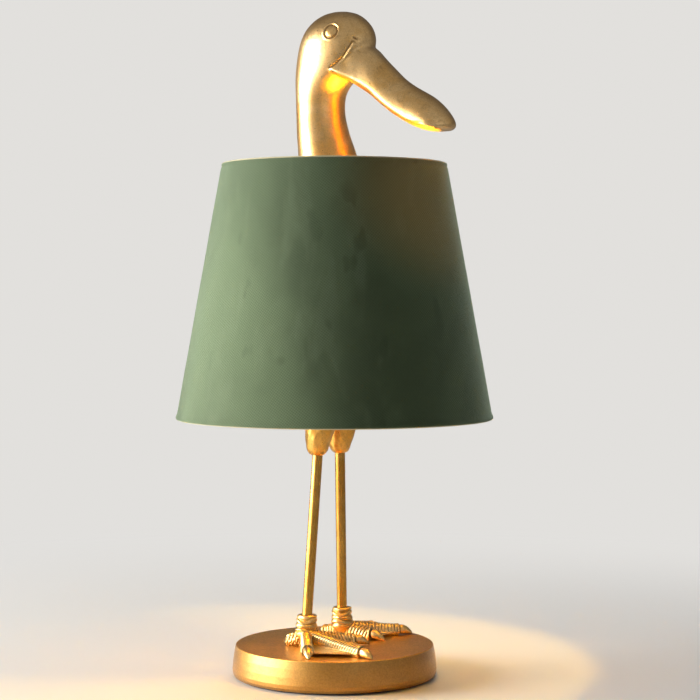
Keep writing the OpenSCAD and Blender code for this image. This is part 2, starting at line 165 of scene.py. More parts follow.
def fuse(parts: Sequence[Part], name: str, voxel: float, factor: float, rounds: int) -> Part:
    """Joins pieces and melts them into one skin.

    Args:
        parts: the pieces; the first one stays.
        name: the joined piece's name.
        voxel: the skin's fineness in millimetres.
        factor: how strongly it is smoothed.
        rounds: how often it is smoothed.

    Returns:
        The joined piece.
    """
    pick(parts[0])
    for part in parts:
        part.select_set(True)
    bpy.ops.object.join()
    whole = added(name)
    modify(whole, "REMESH", mode="VOXEL", voxel_size=voxel * MM)
    modify(whole, "SMOOTH", factor=factor, iterations=rounds)
    return whole


def smooth(part: Part, angle: float = 180.0) -> None:
    """Shades smooth, except over edges sharper than angle degrees."""
    pick(part)
    bpy.ops.object.shade_smooth_by_angle(angle=math.radians(angle))


def loft(name: str, rings: Sequence[Ring], sides: int, heading: Heading,
         capped: bool = True) -> Part:
    """Extrudes a circle ring by ring and scales each ring to its size.

    Args:
        name: the new piece's name.
        rings: its sections from the first end to the last.
        sides: points on each ring.
        heading: which way the rings are stacked.
        capped: whether the ends are closed.

    Returns:
        The new piece, with its place in its mesh.
    """
    upright = heading is Heading.UP
    bpy.ops.mesh.primitive_circle_add(
        vertices=sides, radius=MM, rotation=(0.0, 0.0 if upright else math.pi / 2, 0.0),
        fill_type="NGON" if capped else "NOTHING")
    part = added(name)
    bpy.ops.object.transform_apply()
    here, reach = Vector((0.0, 0.0, 0.0)), Vector((1.0, 1.0, 1.0))
    with editing(part):
        for ring in rings:
            centre = Vector((ring.x, ring.y, ring.z)) * MM
            wide = Vector((ring.a, ring.b, 1.0) if upright else (1.0, ring.b, ring.a))
            step = {"value": centre - here}
            if ring is rings[0]:
                bpy.ops.transform.translate(**step)
            else:
                bpy.ops.mesh.extrude_region_move(TRANSFORM_OT_translate=step)
            ratio = [wide[k] / reach[k] for k in range(3)]
            bpy.ops.transform.resize(value=ratio, center_override=centre)
            here, reach = centre, wide
    if capped:
        outward(part)
    return part


def read(rows: bpy.types.bpy_prop_collection, field: str, width: int = 1,
         kind: type = float) -> Array:
    """Reads a field of every point, edge or face.

    Args:
        rows: the mesh's points, edges, faces or corners.
        field: the field's name.
        width: how many values it has.
        kind: the type of a value.

    Returns:
        The values, a row for each element where there are several.
    """
    values = np.empty(len(rows) * width, kind)
    rows.foreach_get(field, values)
    return values.reshape(-1, width) if width > 1 else values


class Sculpt:
    """Moves a mesh's points as a carver would, in millimetres."""

    def __init__(self, part: Part) -> None:
        """Reads the piece's points and normals.

        Args:
            part: the piece.
        """
        self.part = part
        self.points = read(part.data.vertices, "co", 3) / MM
        self.normals = read(part.data.vertices, "normal", 3)

    def push(self, depth: Array) -> None:
        """Moves each point along its normal by depth."""
        self.points += self.normals * depth[:, None]

    def done(self) -> None:
        """Writes the points back to the piece."""
        mesh = self.part.data
        mesh.vertices.foreach_set("co", (self.points * MM).ravel())
        mesh.update()

    def mark_relief(self, rounds: int, gain: float) -> None:
        """Stores how hollow each point lies, 0.5 on a plain surface and more in a hollow.

        Args:
            rounds: how far the mark is spread.
            gain: how strongly a bend shows.
        """
        self.done()
        mesh = self.part.data
        edges = read(mesh.edges, "vertices", 2, int)
        count = np.maximum(np.bincount(edges.ravel(), minlength=len(self.points)), 1)

        def spread(values: Array) -> Array:
            """Takes the mean of each point's neighbours.

            Args:
                values: a value or a row for each point.

            Returns:
                The means.
            """
            total = np.zeros_like(values)
            np.add.at(total, edges[:, 0], values[edges[:, 1]])
            np.add.at(total, edges[:, 1], values[edges[:, 0]])
            return total / (count if values.ndim == 1 else count[:, None])

        lift = spread(self.points) - self.points
        hollow = (lift * read(mesh.vertices, "normal", 3)).sum(1)
        for _ in range(rounds):
            hollow = 0.4 * hollow + 0.6 * spread(hollow)
        mark = np.clip(0.5 + gain * hollow, 0.0, 1.0)
        attribute = mesh.attributes.new("relief", "FLOAT", "POINT")
        attribute.data.foreach_set("value", mark.astype(np.float32))

    def paint_relief(self, mark: Array | float, where: Array) -> None:
        """Sets the stored mark where a form is finer than its shape shows.

        Args:
            mark: the new marks.
            where: how fully each one takes the old one's place, from 0 to 1.
        """
        stored = self.part.data.attributes["relief"].data
        values = read(stored, "value")
        stored.foreach_set("value", (values + (mark - values) * where).astype(np.float32))


def placed(name: str, data: bpy.types.ID, at: Place) -> Part:
    """Puts a lamp or a camera into the scene.

    Args:
        name: its name.
        data: what it holds.
        at: its place in metres.

    Returns:
        The object.
    """
    held = bpy.data.objects.new(name, data)
    held.location = at
    bpy.context.scene.collection.objects.link(held)
    return held


def bell(distance: Array, width: float) -> Array:
    """Makes a smooth bump of height 1 that fades over width."""
    return np.exp(-((distance / width) ** 2))


def ease(value: Array, low: float, high: float) -> Array:
    """Rises smoothly from 0 at low to 1 at high."""
    t = np.clip((value - low) / (high - low), 0.0, 1.0)
    return t * t * (3 - 2 * t)


def from_line(x: Array, z: Array, line: Line) -> Array:
    """Distance from a line of points in the side view, more than 0 on its right.

    Args:
        x: the points' X.
        z: the points' Z.
        line: the line's corners as (x, z).

    Returns:
        One signed distance for each point.
    """
    best = np.full(x.shape, 1e9)
    side = np.ones(x.shape)
    for (ax, az), (bx, bz) in zip(line, line[1:]):
        dx, dz = bx - ax, bz - az
        along = np.clip(((x - ax) * dx + (z - az) * dz) / (dx * dx + dz * dz), 0.0, 1.0)
        gap = np.hypot(x - ax - along * dx, z - az - along * dz)
        turn = dz * (x - ax) - dx * (z - az)
        nearer = gap < best - 1e-9
        best = np.where(nearer, gap, best)
        side = np.where(nearer, np.sign(turn), side)
    return best * side


def turned(x: Array, y: Array, degrees: float,
           centre: tuple[float, float] = (0.0, 0.0)) -> tuple[Array, Array]:
    """Turns points about the Z axis and then moves them out to a centre."""
    cos, sin = math.cos(math.radians(degrees)), math.sin(math.radians(degrees))
    return centre[0] + x * cos - y * sin, centre[1] + x * sin + y * cos


# ---- finishes


class Graph:
    """Joins shader nodes with short calls."""

    def __init__(self, tree: bpy.types.NodeTree) -> None:
        """Takes over a tree with the nodes that it starts with."""
        self.nodes, self.links = tree.nodes, tree.links

    def feed(self, socket: Socket, value: object) -> None:
        """Fills an input.

        Args:
            socket: the input.
            value: what it holds, or the socket it is joined to; a colour needs no alpha.
        """
        if isinstance(value, bpy.types.NodeSocket):
            self.links.new(value, socket)
        else:
            socket.default_value = (*value, 1.0) if socket.type == "RGBA" else value

    def node(self, kind: str, values: dict[str | int, object] | None = None,
             **settings: object) -> bpy.types.Node:
        """Adds a node.

        Args:
            kind: the node's type, without its ShaderNode prefix.
            values: what its inputs hold, or the sockets they are joined to.
            settings: its properties by name.

        Returns:
            The new node.
        """
        made = self.nodes.new("ShaderNode" + kind)
        for key, value in settings.items():
            setattr(made, key, value)
        for key, value in (values or {}).items():
            self.feed(made.inputs[key], value)
        return made

    def level(self, value: Socket, low: float, high: float, start: float = 0.0,
              end: float = 1.0) -> Socket:
        """Maps a range smoothly to another one.

        Args:
            value: what is mapped.
            low: where its range starts.
            high: where it ends.
            start: the result up to low.
            end: the result from high on.

        Returns:
            The result.
        """
        made = self.node("MapRange", {"Value": value, "From Min": low, "From Max": high,
                                      "To Min": start, "To Max": end},
                         interpolation_type="SMOOTHSTEP")
        return made.outputs["Result"]

    def between(self, share: Socket, first: Socket | float, second: Socket | float) -> Socket:
        """Goes from the first number to the second by share."""
        return self.node("Mix", {0: share, 2: first, 3: second}).outputs[0]


class Shader(Graph):
    """Puts one material together."""

    def __init__(self, name: str) -> None:
        """Starts a material with its main shader and its coordinates.

        Args:
            name: the material's name.
        """
        self.material = bpy.data.materials.new(name)
        self.material.use_nodes = True
        super().__init__(self.material.node_tree)
        self.main = self.nodes["Principled BSDF"]
        self.place = self.node("TexCoord").outputs["Object"]

    def set(self, **values: object) -> None:
        """Sets or joins inputs of the main shader, named with _ for a space."""
        for key, value in values.items():
            self.feed(self.main.inputs[key.replace("_", " ")], value)

    def noise(self, scale: float, detail: float = 3.0, rough: float = 0.55,
              stretch: Place | None = None, warp: float = 0.0) -> Socket:
        """Adds a noise.

        Args:
            scale: its spots a metre.
            detail: how many finer noises it holds.
            rough: how strong those are.
            stretch: how much finer it is along X, Y and Z.
            warp: how far it is bent.

        Returns:
            The noise, from 0 to 1.
        """
        place = self.place
        if stretch:
            place = self.node("Mapping", {"Vector": place, "Scale": stretch}).outputs["Vector"]
        return self.node("TexNoise", {"Vector": place, "Scale": scale, "Detail": detail,
                                      "Roughness": rough, "Distortion": warp}).outputs["Fac"]

    def rise(self) -> Socket:
        """Height in metres."""
        return self.node("SeparateXYZ", {0: self.place}).outputs["Z"]

    def sum(self, how: str, first: Socket | float, second: Socket | float) -> Socket:
        """One step of arithmetic."""
        return self.node("Math", {0: first, 1: second}, operation=how).outputs[0]

    def blend(self, share: Socket, first: Socket | Colour, second: Socket | Colour) -> Socket:
        """Mixes two colours."""
        return self.node("Mix", {0: share, 6: first, 7: second}, data_type="RGBA").outputs[2]

    def bump(self, height: Socket, depth: float, strength: float,
             under: Socket | None = None) -> Socket:
        """Adds a relief.

        Args:
            height: where it rises.
            depth: how deep it is in metres.
            strength: how much of it shows.
            under: the relief that it lies on.

        Returns:
            The surface's normal.
        """
        values = {"Height": height, "Distance": depth, "Strength": strength}
        if under is not None:
            values["Normal"] = under
        return self.node("Bump", values).outputs["Normal"]


@dataclass(frozen=True)
class Finish:
    """A material by name."""

    name: str

    def material(self) -> bpy.types.Material:
        """Builds the material."""
        s = Shader(self.name)
        self.paint(s)
        return s.material

    def paint(self, s: Shader) -> None:
        """Joins the finish's own nodes to the main shader."""
        raise NotImplementedError


@dataclass(frozen=True)
class GoldFinish(Finish):
    """Antique gold applied by rubbing over a brown ground, satin and uneven.

    Where a top height is set, in metres, the side below it gets painted shade: it is mixed towards
    the ground colour, and the top stays lighter.
    """

    colour: Colour = (0.83, 0.475, 0.135)
    # brown ground for stains, specks and brush marks, also the colour of painted shade on sides
    # and in hollows
    ground: Colour = (0.30, 0.150, 0.036)
    # paler gold for random patches, also the colour of painted highlight on raised parts
    rubbed_and_highlit: Colour = (0.97, 0.65, 0.29)
    rough: float = 0.31
    coat: float = 0.7
    painted_shade_below_z: float = 0.0
    brushed: bool = False
    patch: float = 26.0
    mottle: float = 0.55
    relief: bool = False

    def paint(self, s: Shader) -> None:
        """Lays patches, stains and specks, then brush marks, painted shade on the side, and the
        relief:
        the brown ground with painted shade in hollows, paler gold with painted highlight on raised
        parts.

        Args:
            s: the material.
        """
        cloud = s.noise(self.patch, 5.0, 0.62, warp=0.4)
        stain = s.level(s.noise(self.patch * 4.2, 6.0, 0.7, warp=0.8), 0.52, 0.74)
        speck = s.level(s.noise(620.0, 4.0, 0.7), 0.30, 0.72)
        colour = s.blend(s.level(cloud, 0.34, 0.66), self.colour, self.rubbed_and_highlit)
        colour = s.blend(s.sum("MULTIPLY", stain, self.mottle), colour, self.ground)
        colour = s.blend(s.level(speck, 0.0, 1.0, 0.30, 0.0), colour, self.ground)
        normal = s.bump(s.noise(900.0, 3.0, 0.6), 0.00012, 0.35)
        normal = s.bump(s.noise(95.0, 3.0, 0.5), 0.0007, 0.30, normal)
        rough = s.level(speck, 0.0, 1.0, self.rough + 0.10, self.rough - 0.04)
        if self.brushed:
            lines = s.noise(1.0, 4.0, 0.65, (700.0, 700.0, 9.0))
            weak = s.sum("SUBTRACT", 1.0, s.level(lines, 0.30, 0.70))
            colour = s.blend(s.sum("MULTIPLY", weak, 0.42), colour, self.ground)
            rough = s.level(lines, 0.3, 0.7, self.rough + 0.10, self.rough - 0.06)
            normal = s.bump(lines, 0.00016, 0.6, normal)
        # painted shade: the side below the top height is mixed towards the ground colour
        if self.painted_shade_below_z:
            side = s.level(s.rise(), self.painted_shade_below_z - 0.0016, self.painted_shade_below_z - 0.0002, 0.60, 0.0)
            colour = s.blend(side, colour, self.ground)
        # relief: the brown ground in hollows is partly the finish's own ground, partly painted
        # shade; the paler gold on raised parts is partly wear, partly painted highlight
        if self.relief:
            mark = s.node("Attribute", attribute_name="relief").outputs["Fac"]
            colour = s.blend(s.level(mark, 0.53, 0.78, 0.0, 0.85), colour, self.ground)
            colour = s.blend(s.level(mark, 0.46, 0.24, 0.0, 0.7), colour, self.rubbed_and_highlit)
        s.set(Base_Color=colour, Metallic=1.0, Roughness=rough, Normal=normal,
              Coat_Weight=self.coat, Coat_Roughness=0.33)


@dataclass(frozen=True)
class SteelFinish(Finish):
    """Zinc plated steel with a fine drawn grain."""

    name: str = "zinc_steel"
    colour: Colour = (0.60, 0.60, 0.61)
    dull: Colour = (0.46, 0.46, 0.46)

    def paint(self, s: Shader) -> None:
        """Draws fine upright lines and faint stains.

        Args:
            s: the material.
        """
        lines = s.noise(1.0, 3.0, 0.6, (1400.0, 1400.0, 60.0))
        stain = s.level(s.noise(120.0, 4.0, 0.6), 0.4, 0.7, 0.0, 0.5)
        s.set(Base_Color=s.blend(stain, self.colour, self.dull), Metallic=1.0,
              Roughness=s.level(lines, 0.3, 0.7, 0.42, 0.26),
              Normal=s.bump(lines, 0.00005, 0.4))


@dataclass(frozen=True)
class BrassFinish(Finish):
    """Plain pressed brass, a little dulled."""

    name: str = "pressed_brass"
    colour: Colour = (0.78, 0.56, 0.24)
    dull: Colour = (0.42, 0.27, 0.10)

    def paint(self, s: Shader) -> None:
        """Dulls the brass in patches."""
        patch = s.noise(160.0, 4.0, 0.65)
        s.set(Base_Color=s.blend(s.level(patch, 0.42, 0.72, 0.0, 0.6), self.colour, self.dull),
              Metallic=1.0, Roughness=s.level(patch, 0.3, 0.7, 0.22, 0.40),
              Normal=s.bump(s.noise(700.0), 0.00005, 0.4))


@dataclass(frozen=True)
class PlasticFinish(Finish):
    """Moulded plastic with a fine texture from its tool."""

    colour: Colour
    rough: float

    def paint(self, s: Shader) -> None:
        """Lays the tool's grain and a little dust.

        Args:
            s: the material.
        """
        grain = s.noise(1500.0, 2.0, 0.5)
        dust = s.level(s.noise(60.0, 5.0, 0.6), 0.45, 0.75, 0.0, 0.25)
        paler = tuple(min(1.0, c * 1.25 + 0.015) for c in self.colour)
        s.set(Base_Color=s.blend(dust, self.colour, paler),
              Roughness=s.level(grain, 0.3, 0.7, self.rough + 0.06, self.rough - 0.06),
              Normal=s.bump(grain, 0.00006, 0.35))


@dataclass(frozen=True)
class FeltFinish(Finish):
    """Pressed black felt."""

    name: str = "black_felt"
    colour: Colour = (0.028, 0.026, 0.024)
    lint: Colour = (0.085, 0.08, 0.075)

    def paint(self, s: Shader) -> None:
        """Presses fibres into the felt."""
        fibre = s.noise(1.0, 6.0, 0.75, (1600.0, 900.0, 1600.0), 1.5)
        s.set(Base_Color=s.blend(s.level(fibre, 0.35, 0.7), self.colour, self.lint),
              Roughness=0.95, Sheen_Weight=0.4, Sheen_Roughness=0.6,
              Normal=s.bump(fibre, 0.0004, 0.6))


@dataclass(frozen=True)
class VelvetFinish(Finish):
    """Short velvet on a twill ground, brushed into lighter and darker patches."""

    name: str = "sage_velvet"
    colour: Colour = (0.150, 0.217, 0.105)
    crushed: Colour = (0.068, 0.106, 0.045)
    lifted: Colour = (0.260, 0.340, 0.195)
    # edge: pale colour of the painted highlight along both rims
    edge: Colour = (0.80, 0.66, 0.42)
    sheen: Colour = (0.78, 0.96, 0.74)
    # the two fields below: colour and centre of a painted glow, a warm emission on the cloth
    # nearest the bulb
    glow: Colour = (1.0, 0.42, 0.06)
    painted_glow_at: Place = (0.078, 0.0, 0.465)
    low_z: float = SHADE_LOW * MM
    high_z: float = SHADE_HIGH * MM
    twill: float = 0.0020

    def weave(self, s: Shader) -> Socket:
        """Adds the twill's threads.

        Args:
            s: the material.

        Returns:
            Their height, on the cover's own map of the flat cloth in metres.
        """
        cloth = s.node("UVMap", uv_map="cloth").outputs["UV"]
        slant = s.node("Mapping", {"Vector": cloth, "Rotation": (0.0, 0.0, math.radians(42))})
        threads = {"Vector": slant.outputs["Vector"], "Scale": WAVE_LENGTH / self.twill,
                   "Distortion": 1.6, "Detail": 3.0, "Detail Scale": 1.6}
        warp, weft = (s.node("TexWave", threads, wave_type="BANDS", bands_direction=way)
                      .outputs["Fac"] for way in "XY")
        return s.sum("MULTIPLY", s.sum("ADD", warp, weft), 0.5)

    def paint(self, s: Shader) -> None:
        """Lays hand marks, nap and threads, a painted highlight along both rims and a painted glow
        of bulb light near the bulb.

        Args:
            s: the material.
        """
        wave = self.weave(s)
        nap = s.noise(2400.0, 3.0, 0.7)
        hand = s.noise(9.0, 3.0, 0.5, (1.0, 1.0, 0.6), 0.5)
        streak = s.noise(34.0, 3.0, 0.55, (1.0, 1.0, 0.30), 0.5)
        dab = s.noise(38.0, 2.0, 0.45, (1.0, 1.0, 0.55), 0.2)
        colour = s.blend(s.level(hand, 0.34, 0.66), self.crushed, self.colour)
        colour = s.blend(s.level(streak, 0.50, 0.72, 0.0, 0.30), colour, self.lifted)
        colour = s.blend(s.level(dab, 0.63, 0.72, 0.0, 0.75), colour, self.crushed)
        colour = s.blend(s.level(wave, 0.2, 0.8, 0.65, 0.0), colour, self.crushed)
        colour = s.blend(s.level(nap, 0.35, 0.70, 0.20, 0.0), colour, self.crushed)
        # painted highlight: a thin pale band at both rims, where the folded cloth catches light
        rim_highlight = s.sum("MAXIMUM", s.level(s.rise(), self.high_z - 0.0016, self.high_z - 0.0011),
                    s.level(s.rise(), self.low_z + 0.0011, self.low_z + 0.0007))
        colour = s.blend(s.sum("MULTIPLY", rim_highlight, 0.75), colour, self.edge)
        # painted glow: the cloth nearest the bulb emits warm light, standing in for bulb light
        # showing in the velvet
        near = s.node("VectorMath", {0: s.place, 1: self.painted_glow_at}, operation="DISTANCE")
        through = s.level(near.outputs["Value"], 0.115, 0.045, 0.0, 0.045)
        s.set(Base_Color=colour, Roughness=0.85, Sheen_Weight=1.0, Sheen_Roughness=0.42,
              Sheen_Tint=self.sheen, Emission_Color=self.glow, Emission_Strength=through,
              Normal=s.bump(wave, 0.0004, 0.5, s.bump(nap, 0.00035, 0.55)))


@dataclass(frozen=True)
class LinerFinish(Finish):
    """Cream plastic lining of the shade."""

    name: str = "cream_liner"
    colour: Colour = (0.86, 0.76, 0.55)
    pulp: Colour = (0.80, 0.68, 0.46)

    def paint(self, s: Shader) -> None:
        """Clouds the lining."""
        cloud = s.noise(220.0, 5.0, 0.6)
        s.set(Base_Color=s.blend(s.level(cloud, 0.35, 0.7), self.colour, self.pulp),
              Roughness=0.55, Normal=s.bump(cloud, 0.0001, 0.3))


@dataclass(frozen=True)
class GlassFinish(Finish):
    """Clear bulb glass."""

    name: str = "bulb_glass"
    colour: Colour = (1.0, 0.985, 0.96)

    def paint(self, s: Shader) -> None:
        """Makes the glass clear, with a faint unevenness."""
        wave = s.noise(40.0, 2.0, 0.5)
        s.set(Base_Color=self.colour, Transmission_Weight=1.0, IOR=1.45,
              Roughness=s.level(wave, 0.3, 0.7, 0.0, 0.03))


@dataclass(frozen=True)
class GlowFinish(Finish):
    """Hot filament."""

    name: str = "hot_filament"
    colour: Colour = (1.0, 0.55, 0.18)
    cooler: Colour = (0.9, 0.4, 0.1)
    power: float = 35.0

    def paint(self, s: Shader) -> None:
        """Lights the filament."""
        s.set(Base_Color=s.blend(s.noise(900.0), self.colour, self.cooler),
              Roughness=0.5, Emission_Color=self.colour, Emission_Strength=self.power)


# ---- pieces


@dataclass
class HeadAndNeck:
    """Neck, head and bill, cast in one, in millimetres.

    The neck's table holds level sections from the seat ring up to the crown. The lip and the
    edge of the bill's root are lines in the side view.
    """

    voxel: float = 0.86
    eye_x: float = 11.2
    eye_z: float = 625.6
    eye_r: float = 5.9
    nostril_x: float = 33.8
    nostril_z: float = 618.2
    # the two relief marks below: brown ground with painted shade in grooves, and paler gold with
    # painted highlight along the plate's edge
    hollow: float = 0.80
    worn_and_highlit: float = 0.28
    lip: Line = ((9.6, 590), (31, 575), (45, 566), (58.4, 555.5), (71.4, 545.4),
                 (84.6, 537.6), (97.6, 532.6), (110, 529.8), (121, 528.4), (140, 528))
    edge: Line = ((9.6, 590), (16, 593.6), (22.4, 599.3), (27.4, 606), (31, 611.6),
                  (32.3, 614), (40, 610.9), (44.7, 608.5), (50, 612.5), (60, 622))

    neck: Rows = (
        (0, 466, 33.5, 33.5), (0, 470, 33.5, 33.5), (-0.4, 472.5, 33.4, 33.4),
        (-3, 481, 32, 32), (-5.4, 497, 30.2, 30), (-8.8, 514, 28, 28),
        (-12.6, 530, 25.8, 25.8), (-15.3, 548, 24, 24), (-15.6, 563, 24.2, 24.2),
        (-13.6, 574, 26.6, 25.4), (-8.4, 585, 32, 27), (-3, 596, 36.6, 28),
        (1.6, 608, 39.4, 28.6), (4.4, 619, 39.4, 28), (5.6, 629.6, 35.4, 25),
        (6.2, 638.4, 27.8, 19.4), (7, 644.4, 18, 12.6), (7.4, 647, 7.8, 5.8))
    bill: Rows = (
        (8, 590.5, 588.5, 25.4), (12, 592.5, 585, 25.8), (16, 595, 582.5, 25.4),
        (22.4, 600.5, 578.5, 24), (27.4, 607, 575.5, 22.9), (31, 611.8, 573, 22.2),
        (36, 613.8, 569, 21.4), (41, 612.6, 565.5, 20.9), (47.5, 608.6, 561, 20.5),
        (52.5, 603.4, 557, 20.2), (59.6, 596.4, 551, 20), (69, 587.4, 544, 19.6),
        (78.2, 578.9, 538.4, 19.7), (89, 571.4, 532.6, 20.5), (99.7, 565.4, 528.7, 21.6),
        (107, 561.3, 527, 21.9), (113, 557, 526.4, 21), (119, 551.6, 526.8, 18.5),
        (124, 546, 527.9, 14.4), (127.6, 541.2, 529.8, 9.8), (129.8, 537.2, 532.4, 5))

    def bill_rings(self) -> list[Ring]:
        """Upright sections across the bill, from its table of x, top, underside and half width."""
        rows = [(x, (top + low) / 2, (top - low) / 2, half) for x, top, low, half in self.bill]
        return between(rows, 4)

    def shape_bill(self, bill: Part) -> None:
        """Makes the bill's sections flat below and widest near the lip.

        Args:
            bill: the bill's loft.
        """
        carve = Sculpt(bill)
        at, *sizes, _ = np.array([astuple(ring) for ring in self.bill_rings()]).T
        x, y, z = carve.points.T
        middle, high, wide = (np.interp(x, at, size) for size in sizes)
        up = np.clip((z - middle) / high, -1.0, 1.0)
        brim = np.interp(x, (8.0, 30.0, 47.5, 90.0, 124.0), (-0.2, -0.50, -0.42, -0.48, -0.50))
        over = np.clip((up - brim) / (1 - brim), 0.0, 1.0)
        under = np.clip((brim - up) / (1 + brim), 0.0, 1.0)
        full = np.interp(x, (30.0, 60.0, 90.0), (2.7, 1.9, 1.75))
        profile = np.where(up > brim, (1 - over ** full) ** (1 / full),
                           (1 - under ** 2.6) ** 0.5)
        carve.points[:, 1] = np.where(np.abs(y) < 1e-9, 0.0, np.sign(y)) * wide * profile
        carve.done()

    def melt_seams(self, head: Part) -> None:
        """Runs the bill and the head into each other along their seam.

        Args:
            head: the melted head.
        """
        seam = Sculpt(head)
        x, y, z = seam.points.T
        brow = np.clip(1.4 * bell(np.hypot(x - 42.0, z - 612.0), 15.0), 0.0, 1.0)
        cheek = ease(x, 9.0, 15.0) * (1 - ease(x, 42.0, 54.0)) * ease(z, 579.0, 586.0)
        cheek *= ease(x * 1.07 + 585.0 - z, 4.0, 9.0) * (np.abs(y) > 6)
        chin = bell(np.hypot(x - 27.0, z - 570.0), 9.0)
        weight = np.clip(brow + cheek + chin, 0.0, 1.0)
        group = head.vertex_groups.new(name="seam")
        for level in range(1, 11):
            chosen = np.nonzero(np.rint(weight * 10) == level)[0]
            group.add(chosen.tolist(), level / 10, "REPLACE")
        modify(head, "SMOOTH", factor=0.5, iterations=60, vertex_group="seam")
        head.vertex_groups.clear()

    def carve_face(self, head: Part) -> None:
        """Cuts the bill's edge, the lip, the eyes and the nostrils, and marks them: painted shade
        in their grooves, painted highlight along the plate's edge.

        Args:
            head: the melted head.
        """
        carve = Sculpt(head)
        x, y, z = carve.points.T
        off_axis = np.abs(y)
        over, under = from_line(x, z, self.edge), from_line(x, z, self.lip)
        on_bill = ease(x, 7.0, 11.0)
        above, ledge = ease(-under, -0.3, 0.5), ease(-under, -0.6, 0.2)
        fades = 1 - ease(x, 31.0, 37.0)
        beyond = ease(x, 26.0, 40.0) * (1 - ease(x, 112.0, 126.0))
        plate = ease(over, -0.6, 0.5) * above * on_bill
        depth = plate * 1.1 * np.exp(-np.clip(over, 0, None) / 9.0) * (1 - ease(x, 31.5, 41.0))
        depth -= 0.7 * bell(over + 1.0, 0.9) * ledge * on_bill * fades
        depth -= 0.9 * ease(under, 0.0, 1.6) * beyond
        depth -= 0.5 * bell(under - 0.8, 0.9) * beyond
        scoop = np.hypot(np.clip(np.abs(x - 110) - 7, 0, None) / 4, (z - 534.6) / 2.2)
        depth -= 0.7 * np.exp(-scoop ** 2) * (off_axis > 8)
        from_eye = np.hypot(x - self.eye_x, z - self.eye_z)
        past = from_eye - self.eye_r
        ball = np.sqrt(np.clip(1 - (from_eye / self.eye_r) ** 2, 0, 1))
        eye = 1.1 * ball - bell(past - 0.5, 0.7) + 0.5 * bell(past - 2.1, 1.0)
        depth += eye * (off_axis > 12)
        nx, nz = x - self.nostril_x, z - self.nostril_z
        along, across = 0.8 * nx - 0.6 * nz, 0.6 * nx + 0.8 * nz
        depth -= 1.5 * bell(np.hypot(along / 2.2, across), 1.0) * (off_axis > 3)
        carve.push(depth)
        carve.mark_relief(rounds=3, gain=2.4)
        off_axis = np.abs(y)
        # painted shade in the eye's groove, the nostrils, under the plate's edge and along the
        # lip, partly the finish's brown ground
        dark_ground_and_shade = np.max((
            1.1 * bell(past - 0.5, 0.85) * (off_axis > 12),
            1.2 * bell(np.hypot(along / 2.4, across), 0.85) * (off_axis > 3),
            0.8 * bell(over + 1.2, 1.1) * ledge * on_bill * fades,
            0.6 * bell(under - 0.5, 0.7) * beyond * (off_axis > 6)), axis=0)
        carve.paint_relief(self.hollow, np.minimum(dark_ground_and_shade, 1.0))
        # painted highlight along the plate's edge, partly paler wear of the gold
        bare_and_highlit = bell(over - 0.5, 0.9) * above * on_bill * (1 - ease(x, 30.0, 36.0))
        carve.paint_relief(self.worn_and_highlit, bare_and_highlit)

    def build(self) -> Part:
        """Models the casting.

        Returns:
            The finished piece, in place.
        """
        neck = loft("neck", between(self.neck, 3), 96, Heading.UP)
        bill = loft("bill", self.bill_rings(), 64, Heading.AHEAD)
        self.shape_bill(bill)
        head = fuse([neck, bill], "head_and_neck", self.voxel, factor=0.5, rounds=6)
        self.melt_seams(head)
        self.carve_face(head)
        smooth(head)
        head.data.materials.append(GoldFinish("head_gold", relief=True).material())
        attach(head, "stand")
        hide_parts("neck_head")
        return head


@dataclass
class BodyCasting:
    """Belly inside the shade, and the thighs that show below it."""

    voxel: float = 1.3

    belly: Rows = ((-13, 243, 8, 12), (-12, 246, 16, 22), (-9, 252, 23, 28), (-5, 265, 29, 33),
                   (-1, 290, 34, 36), (2, 330, 37, 38), (3, 380, 38, 38.5), (2, 430, 38, 38),
                   (0, 456, 38, 38), (0, 465.9, 38, 38))

    def thigh(self, x: float, y: float, flare: float) -> list[Ring]:
        """Shapes a thigh by its level sections.

        Args:
            x: the hip's X.
            y: the hip's Y.
            flare: how far it widens on top.

        Returns:
            The sections.
        """
        rows = ((0, 217, 6.2, 6.2), (0, 218.6, 8, 8), (0, 222, 10.2, 10),
                (0.3, 227, 11.7, 11.2), (1.6, 236, 13.8, 12.6), (2.6, 243, 13.9 + flare, 13.4),
                (2.5, 248, 14.0 + flare * 2.6, 14), (2.2, 253, 14.4 + flare * 4.2, 14.6),
                (4, 261, 16 + flare * 5, 15), (6, 269, 17 + flare * 4, 15))
        return between([(x + ahead, z, a, b, y) for ahead, z, a, b in rows], 3)

    def build(self) -> Part:
        """Models the casting.

        Returns:
            The finished piece, in place.
        """
        belly = loft("belly", between(self.belly, 3), 72, Heading.UP)
        right, left = (loft("thigh", self.thigh(*hip, flare), 40, Heading.UP)
                       for hip, flare in ((RIGHT_HIP, 1.35), (LEFT_HIP, 0.1)))
        bpy.ops.mesh.primitive_cube_add(size=1.0, location=(0.032, 0, 0.315),
                                        scale=(0.024, 0.022, 0.038))
        pad = added("pad")
        bpy.ops.object.transform_apply()
        body = fuse([belly, right, left, pad], "body_casting", self.voxel, factor=0.5, rounds=4)
        carve = Sculpt(body)
        x, y, z = carve.points.T
        low = 1 - ease(z, 262.0, 280.0)
        hew = (np.sin(x * 0.55 + 1.3 * np.sin(z * 0.21 + y * 0.3))
               * np.sin(y * 0.47 + z * 0.33 + 0.8 * np.sin(x * 0.4)))
        carve.push(0.28 * hew * low - 0.2)
        carve.mark_relief(rounds=3, gain=1.2)
        smooth(body)
        # warmer, more orange gold than the head's: painted warm light from the bulb; its relief
        # gives painted shade in hollows and painted highlight on bumps
        body.data.materials.append(
            GoldFinish("body_gold", (0.78, 0.385, 0.060), rubbed_and_highlit=(0.90, 0.50, 0.11), relief=True,
                       patch=44.0, coat=0.3).material())
        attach(body, "stand")
        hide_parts("torso")
        return body


